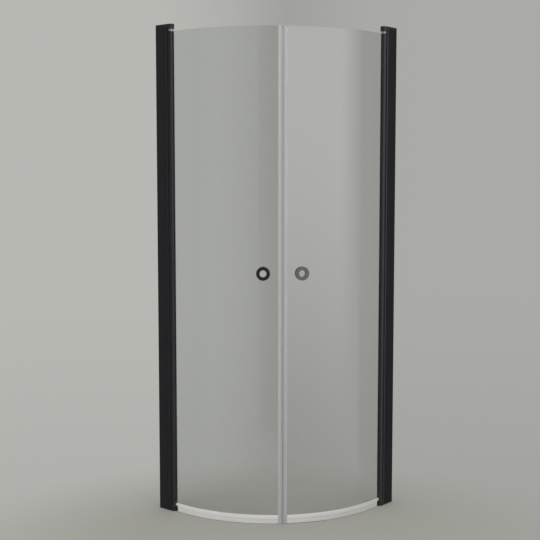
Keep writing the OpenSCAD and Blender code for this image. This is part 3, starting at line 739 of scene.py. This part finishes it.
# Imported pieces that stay: each takes its finish by slot, and the real one's eased edges, whose
# widths are in millimetres
easedEdges = {
    "wall_channel": 0.25, "hinge_carrier": 0.3, "hinge_tube": 0.2, "top_cap": 0.5, "bottom_cap": 0.5,
    "top_spindle": 0.3, "thrust_ring": 0.2, "glass_gasket": 0.6, "screw_covers": 0.3,
}
for name, node in nodes.items():
    for materialSlot in node.material_slots:
        slotName = materialSlot.material.name.split(".")[0]
        if slotName in materialOf:
            materialSlot.material = materialOf[slotName]
    width = easedEdges.get(name.split("_", 1)[1])
    if width:
        roundEdges(node, width * mm, weld=True)
print("stage 5: packed pieces finished")


# Studio: pale floor that fades into a pale backdrop, with painted shade behind the room corner and
# towards the floor. Gloss sees tall softboxes with a dark gap where the photographer stands, which
# draws the soft upright bands on the glass. Headings are seen from above: 0 is +X and -90 the front left.
studio = {
    "backdrop": "#b7b8b3",
    # painted shade of a room corner: the backdrop is darkest near heading 130, behind the corner
    "backdropTones": [
        (100, 0.85), (123, 0.85), (125.5, 0.83), (128.5, 0.765), (129.7, 0.745), (130.2, 0.75),
        (130.8, 0.81), (132.5, 0.9), (136, 1.0), (150, 1.0), (180, 0.85)],
    "lowTone": 0.9,  # painted shade: the backdrop darkens a little towards the floor, between these two angles
    "lowDeg": -20,
    "levelDeg": -5,
    "floor": "#999991",
    "floorCentre": (0.45, -0.55),  # in front of the doors, so that the floor fades soon behind them
    "floorRadius": 1.6,
    "floorSides": 96,
    "floorRoughness": 0.85,
    "floorIor": 1.45,
    "fadeStart": 0.6,
    "fadeEnd": 1.5,
    "skyLight": 0.62,
}
softboxes = {
    "levels": [
        (-144, 0.5), (-136, 0.2), (-118, 0.2), (-100, 0.4), (-62, 0.4), (-58.5, 0.13), (-53.5, 0.15),
        (-50, 0.05), (-44, 0.05), (-37, 1.75), (14, 1.5), (38, 0.05), (56, 0.05), (70, 0.8),
        (120, 0.7), (150, 0.5)],
    "footDeg": -17,  # below this angle from the horizon gloss sees the floor
    "fullDeg": 4,  # and above this one the softboxes in full
    "floorLevel": 0.36,  # the floor in gloss is no brighter than this
}
lamps = {
    "sideLamp": {"headingDeg": -15, "distance": 3.4, "height": 1.12, "size": (1.6, 2.2), "watts": 33},
    "frontLamp": {"headingDeg": -95, "distance": 4.2, "height": 1.02, "size": (2.4, 2.0), "watts": 72},
    "topLamp": {"headingDeg": -50, "distance": 1.2, "height": 4.2, "size": (3.0, 3.0), "watts": 58},
}


def headingCurve(world, heading, levels):  # a strength that changes with the heading of a ray
    share = addNode(world, "ShaderNodeMapRange", links={
        "Value": heading, "From Min": -math.pi, "From Max": math.pi})
    curve = addNode(world, "ShaderNodeFloatCurve", links={"Value": share.outputs[0]})
    line = curve.mapping.curves[0]
    highest = max(level for _, level in levels)
    places = [((angle + 180) / 360, level / highest) for angle, level in levels]
    line.points[0].location = (0.0, places[0][1])
    line.points[1].location = (1.0, places[-1][1])
    for place in places:
        line.points.new(*place)
    for point in line.points:
        point.handle_type = "VECTOR"
    curve.mapping.update()
    return addNode(world, "ShaderNodeMath", {"operation": "MULTIPLY"}, {
        0: curve.outputs[0], 1: highest}).outputs[0]


def makeSurround():
    white = (1.0, 1.0, 1.0, 1.0)
    world = bpy.data.worlds.new("paleSurround")
    bpy.context.scene.world = world
    world.use_nodes = True
    world.node_tree.nodes.clear()
    view = addNode(world, "ShaderNodeSeparateXYZ", links={
        0: addNode(world, "ShaderNodeTexCoord").outputs["Generated"]})
    heading = addNode(world, "ShaderNodeMath", {"operation": "ARCTAN2"}, {
        0: view.outputs["Y"], 1: view.outputs["X"]}).outputs[0]
    lift = [math.sin(math.radians(softboxes[key])) for key in ("footDeg", "fullDeg")]
    high = addNode(world, "ShaderNodeMapRange", {"interpolation_type": "SMOOTHSTEP"}, {
        "Value": view.outputs["Z"], "From Min": lift[0], "From Max": lift[1]})
    boxes = headingCurve(world, heading, softboxes["levels"])
    foot = addNode(world, "ShaderNodeMath", {"operation": "MINIMUM"}, {
        0: boxes, 1: softboxes["floorLevel"]})
    shine = addNode(world, "ShaderNodeMix", {"data_type": "FLOAT"}, {
        "Factor": high.outputs[0], 2: foot.outputs[0], 3: boxes})
    light = addNode(world, "ShaderNodeBackground", links={
        "Color": white, "Strength": studio["skyLight"]})
    gloss = addNode(world, "ShaderNodeBackground", links={
        "Color": white, "Strength": shine.outputs[0]})
    tilt = [math.sin(math.radians(studio[key])) for key in ("lowDeg", "levelDeg")]
    lower = addNode(world, "ShaderNodeMapRange", {"interpolation_type": "SMOOTHSTEP"}, {
        "Value": view.outputs["Z"], "From Min": tilt[0], "From Max": tilt[1],
        "To Min": studio["lowTone"], "To Max": 1.0})
    # painted shade on the backdrop, behind the room corner and towards the floor
    tone = addNode(world, "ShaderNodeMath", {"operation": "MULTIPLY"}, {
        0: headingCurve(world, heading, studio["backdropTones"]), 1: lower.outputs[0]})
    backdrop = addNode(world, "ShaderNodeBackground", links={
        "Color": toLinear(studio["backdrop"]), "Strength": tone.outputs[0]})
    path = addNode(world, "ShaderNodeLightPath")
    glossy = addNode(world, "ShaderNodeMixShader", links={
        0: path.outputs["Is Glossy Ray"], 1: light.outputs[0], 2: gloss.outputs[0]})
    seen = addNode(world, "ShaderNodeMath", {"operation": "MAXIMUM"}, {
        0: path.outputs["Is Camera Ray"], 1: path.outputs["Is Transmission Ray"]})
    mixed = addNode(world, "ShaderNodeMixShader", links={
        0: seen.outputs[0], 1: glossy.outputs[0], 2: backdrop.outputs[0]})
    addNode(world, "ShaderNodeOutputWorld", links={"Surface": mixed.outputs[0]})


def makeFloor():
    shape = bmesh.new()
    bmesh.ops.create_circle(
        shape, cap_ends=True, segments=studio["floorSides"], radius=studio["floorRadius"])
    mesh = bpy.data.meshes.new("studioFloor")
    shape.to_mesh(mesh)
    shape.free()
    floor = bpy.data.objects.new("studioFloor", mesh)
    bpy.context.scene.collection.objects.link(floor)
    floor.location = (*studio["floorCentre"], 0)
    material = newMaterial("PaleFloor")
    place = addNode(material, "ShaderNodeTexCoord").outputs["Object"]
    reach = addNode(material, "ShaderNodeVectorMath", {"operation": "LENGTH"}, {0: place})
    fade = addNode(material, "ShaderNodeMapRange", {"interpolation_type": "SMOOTHSTEP"}, {
        "Value": reach.outputs["Value"],
        "From Min": studio["fadeStart"], "From Max": studio["fadeEnd"]})
    matt = addNode(material, "ShaderNodeBsdfPrincipled", links={
        "Base Color": toLinear(studio["floor"]), "Roughness": studio["floorRoughness"],
        "IOR": studio["floorIor"]})
    gone = addNode(material, "ShaderNodeBsdfTransparent")
    mixed = addNode(material, "ShaderNodeMixShader", links={
        0: fade.outputs[0], 1: matt.outputs[0], 2: gone.outputs[0]})
    mesh.materials.append(finishMaterial(material, mixed))


def makeLamp(name, plan):
    data = bpy.data.lights.new(name, "AREA")
    data.shape = "RECTANGLE"
    data.size, data.size_y = plan["size"]
    data.energy = plan["watts"]
    lamp = bpy.data.objects.new(name, data)
    bpy.context.scene.collection.objects.link(lamp)
    heading = math.radians(plan["headingDeg"])
    lamp.location = (
        plan["distance"] * math.cos(heading), plan["distance"] * math.sin(heading), plan["height"])
    aim = Vector((0, 0, (cadLow.z + cadHigh.z) / 2)) - lamp.location
    lamp.rotation_euler = aim.to_track_quat("-Z", "Y").to_euler()
    lamp.visible_camera = lamp.visible_glossy = lamp.visible_transmission = False


makeSurround()
makeFloor()
for name, plan in lamps.items():
    makeLamp(name, plan)
print("stage 6: studio made")
